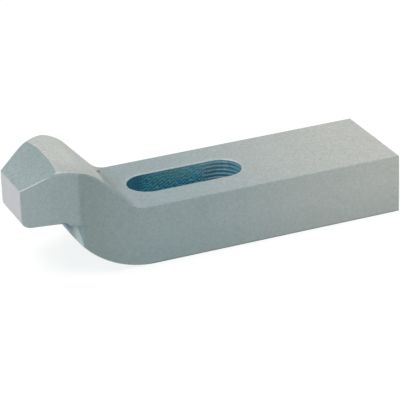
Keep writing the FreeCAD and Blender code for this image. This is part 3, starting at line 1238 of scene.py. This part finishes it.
    def coat(self) -> bpy.types.Material:
        """The slot's teal enamel, darkened as painted shade, with painted light near the top and at the heel
        end and painted highlights on the crests.

        Returns:
            The material.
        """
        material, sheet, shader = self.enamel.start("slot_enamel")
        reading = Reading(sheet)
        heel_part = sheet.fade(reading.along, *self.heel_part)
        upper_part = sheet.product(
            sheet.fade(reading.height, *self.upper_part),
            sheet.fade(reading.along, *self.upper_front),
            sheet.between(sheet.fade(reading.along, *self.upper_end), self.upper_least, 1.0),
        )
        crest = sheet.add("ShaderNodeAttribute", attribute_name="crest").outputs["Fac"]
        crest_part = sheet.product(
            sheet.fade(crest, *self.crest_height),
            sheet.between(sheet.fade(reading.along, *self.crest_end), self.crest_least, 1.0),
        )
        crest_colour = sheet.mix(self.scale, self.ridge, sheet.fade(reading.along, *self.ridge_part))
        # Teal coat darkened as painted shade, painted light at the heel end and under the rim, painted
        # highlights on the crests.
        colour = sheet.mix(self.deep, self.heel_end_light, heel_part)
        colour = sheet.mix(colour, self.upper, upper_part)
        colour = sheet.mix(colour, crest_colour, crest_part)
        shader.inputs["Specular IOR Level"].default_value = self.gloss
        grain = sheet.use(self.effects.grain, Position=reading.point, Speck=self.speck, Cloud=self.cloud)
        self.enamel.lay(sheet, shader, colour, grain)
        return material


@dataclass(frozen=True)
class Softbox:
    """A square studio light.

    Args:
        name: The light's name.
        place: Where it stands.
        side: Length of its side.
        power: Its power in watts.
        colour: Its colour.
        aim: The point that it looks at.
    """

    name: str
    place: Point
    side: float
    power: float
    colour: Colour
    aim: Point = (0.0, 0.0, 0.02)

    def build(self) -> bpy.types.Object:
        """Makes the light and turns it to its aim.

        Returns:
            The light's object.
        """
        light = bpy.data.lights.new(self.name, "AREA")
        light.shape = "SQUARE"
        light.size = self.side
        light.energy = self.power
        light.color = self.colour
        lamp = bpy.data.objects.new(self.name, light)
        lamp.location = self.place
        lamp.rotation_mode = "QUATERNION"
        lamp.visible_camera = False
        lamp.rotation_quaternion = (Vector(self.aim) - Vector(self.place)).to_track_quat("-Z", "Y")
        bpy.context.scene.collection.objects.link(lamp)
        return lamp


@dataclass
class Studio:
    """Pale floor, white surroundings and soft lights.

    Args:
        half: Half the floor's side.
        floor: Colour of the floor.
        matte: Roughness of the floor.
        glow: Light that the floor gives by itself, which keeps the shadows faint.
        glow_colour: Colour of that light.
        sky: Brightness of the surroundings.
        lights: The softboxes.
    """

    half: float = 4.0
    floor: Colour = (0.22, 0.22, 0.22)
    matte: float = 0.9
    glow: float = 0.81
    glow_colour: Colour = (0.985, 1.0, 0.997)
    sky: float = 0.36
    lights: tuple[Softbox, ...] = (
        Softbox("nose_light", place=(-0.45, -0.03, 0.035), side=0.06, power=0.488, colour=(1.0, 0.90, 0.97)),
        Softbox("left_light", place=(-0.50, 0.0, 0.80), side=0.50, power=5.78, colour=(0.978, 0.982, 1.0)),
        Softbox("back_light", place=(0.50, 0.75, 0.45), side=0.45, power=1.20, colour=(1.0, 0.87, 0.77)),
        Softbox("heel_light", place=(0.30, -0.10, 0.16), side=0.15, power=0.331, colour=(0.973, 1.0, 0.882)),
    )

    def build(self) -> None:
        """Makes the floor, the surroundings and the lights."""
        bpy.context.scene.view_settings.view_transform = "Standard"
        corners = np.array([(-1, -1), (1, -1), (1, 1), (-1, 1)]) * self.half
        mesh = bpy.data.meshes.new("floor")
        mesh.from_pydata(np.column_stack([corners, np.zeros(4)]), [], [(0, 1, 2, 3)])
        floor = bpy.data.objects.new("floor", mesh)
        bpy.context.scene.collection.objects.link(floor)
        mesh.materials.append(self.floor_paint())
        world = bpy.data.worlds.new("studio")
        world.use_nodes = True
        surroundings = world.node_tree.nodes["Background"]
        surroundings.inputs["Color"].default_value = (1.0, 1.0, 1.0, 1.0)
        surroundings.inputs["Strength"].default_value = self.sky
        bpy.context.scene.world = world
        for light in self.lights:
            light.build()

    def floor_paint(self) -> bpy.types.Material:
        """Matte white paper that glows a little.

        Returns:
            The material.
        """
        material = bpy.data.materials.new("floor_paper")
        material.use_nodes = True
        shader = material.node_tree.nodes["Principled BSDF"]
        shader.inputs["Base Color"].default_value = (*self.floor, 1.0)
        shader.inputs["Roughness"].default_value = self.matte
        shader.inputs["Emission Color"].default_value = (*self.glow_colour, 1.0)
        shader.inputs["Emission Strength"].default_value = self.glow
        return material


@dataclass(frozen=True)
class PhotoCamera:
    """The camera of the photograph, as fitted to the clamp's edges.

    Args:
        azimuth: Degrees round the clamp, 0 looking along +Y.
        elevation: Degrees above the floor.
        roll: Degrees that the camera is turned about its own line of sight.
        distance: Distance from the part's origin along the line of sight.
        right: How far the camera is moved to its own right.
        up: How far it is moved up.
        focal: Focal length in picture widths.
        sensor: Breadth of the sensor in millimetres.
        nearest: Where the picture starts.
        farthest: Where it ends.
    """

    azimuth: float = -22.47
    elevation: float = 24.55
    roll: float = -1.95
    distance: float = 0.961
    right: float = -0.0001
    up: float = 0.01137
    focal: float = 2345.0 / 400.0
    sensor: float = 36.0
    nearest: float = 0.01
    farthest: float = 50.0

    def build(self) -> bpy.types.Object:
        """Makes the camera and sets it as the scene's own.

        Returns:
            The camera's object.
        """
        turn, rise, roll = (math.radians(a) for a in (self.azimuth, self.elevation, self.roll))
        back = Vector((math.sin(turn) * math.cos(rise), -math.cos(turn) * math.cos(rise), math.sin(rise)))
        level = Vector((math.cos(turn), math.sin(turn), 0.0))
        upright = back.cross(level)
        right = level * math.cos(roll) + upright * math.sin(roll)
        up = upright * math.cos(roll) - level * math.sin(roll)
        lens = bpy.data.cameras.new("camera")
        lens.sensor_width = self.sensor
        lens.lens = self.focal * lens.sensor_width
        lens.clip_start, lens.clip_end = self.nearest, self.farthest
        camera = bpy.data.objects.new("camera", lens)
        place = right * self.right + up * self.up + back * self.distance
        camera.matrix_world = Matrix.Translation(place) @ Matrix((right, up, back)).transposed().to_4x4()
        bpy.context.scene.collection.objects.link(camera)
        bpy.context.scene.camera = camera
        return camera


def main() -> None:
    """Builds the pieces in order and reports each."""
    logging.basicConfig(level=logging.INFO, format="%(name)s: %(message)s")
    effects = Effects()
    clamp = StrapClamp(effects).dress()
    LOG.info("%s dressed, %d faces", clamp.name, len(clamp.data.polygons))
    wall = SlotWall(effects).build()
    LOG.info("%s built, %d faces", wall.name, len(wall.data.polygons))
    Studio().build()
    camera = PhotoCamera().build()
    LOG.info("%s set, %.0f mm", camera.name, camera.data.lens)


if __name__ == "__main__":
    main()
